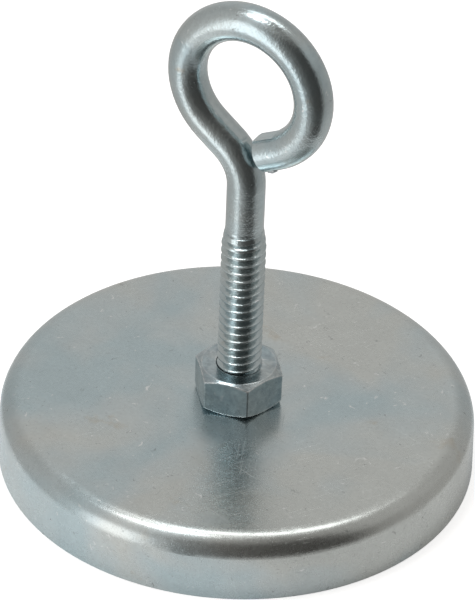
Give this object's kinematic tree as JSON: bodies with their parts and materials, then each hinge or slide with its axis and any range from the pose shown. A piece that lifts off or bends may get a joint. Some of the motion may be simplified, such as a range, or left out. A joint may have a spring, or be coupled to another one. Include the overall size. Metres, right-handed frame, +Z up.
{
  "type": "magnet fishing magnet",
  "caption": "Round pot magnet with a drawn steel cup and a bent-wire eye bolt clamped through its centre, for pulling iron scrap out of water on a line.",
  "frame": {"origin": "centre of the working face, on the plane of the cup's rim", "axes": "+Z up the bolt to the eye; the eye lies in the XZ plane, with the wire's free end on the +X side"},
  "size_m": [0.067, 0.067, 0.0727],
  "materials": {
    "zinc_cup": "satin",
    "ferrite": "matte",
    "resin": "semi-gloss",
    "zinc_wire": "satin",
    "zinc_nut": "satin",
    "spring_steel": "satin"
  },
  "bodies": {
    "magnet_base": {"steel_cup": "zinc_cup", "ring_magnet": "ferrite", "resin_bond": "resin"},
    "bolt": {"eye_bolt": "zinc_wire", "thin_nut": "zinc_nut", "lock_washer": "spring_steel"},
    "jam_nut": {"top_nut": "zinc_nut"}
  },
  "joints": [
    {"name": "eye_bolt_turn", "type": "hinge", "parent": "magnet_base", "child": "bolt", "pos_m": [0, 0, 0.0095], "axis": [0, 0, 1], "range_deg": [-5040, 0]},
    {"name": "top_nut_climb", "type": "slide", "parent": "magnet_base", "child": "jam_nut", "axis": [0, 0, 1], "range_m": [0, 0.01778]}
  ],
  "couplings": [
    {"joint": "top_nut_climb", "follows": "eye_bolt_turn", "m_per_rad": -0.00020213}
  ]
}
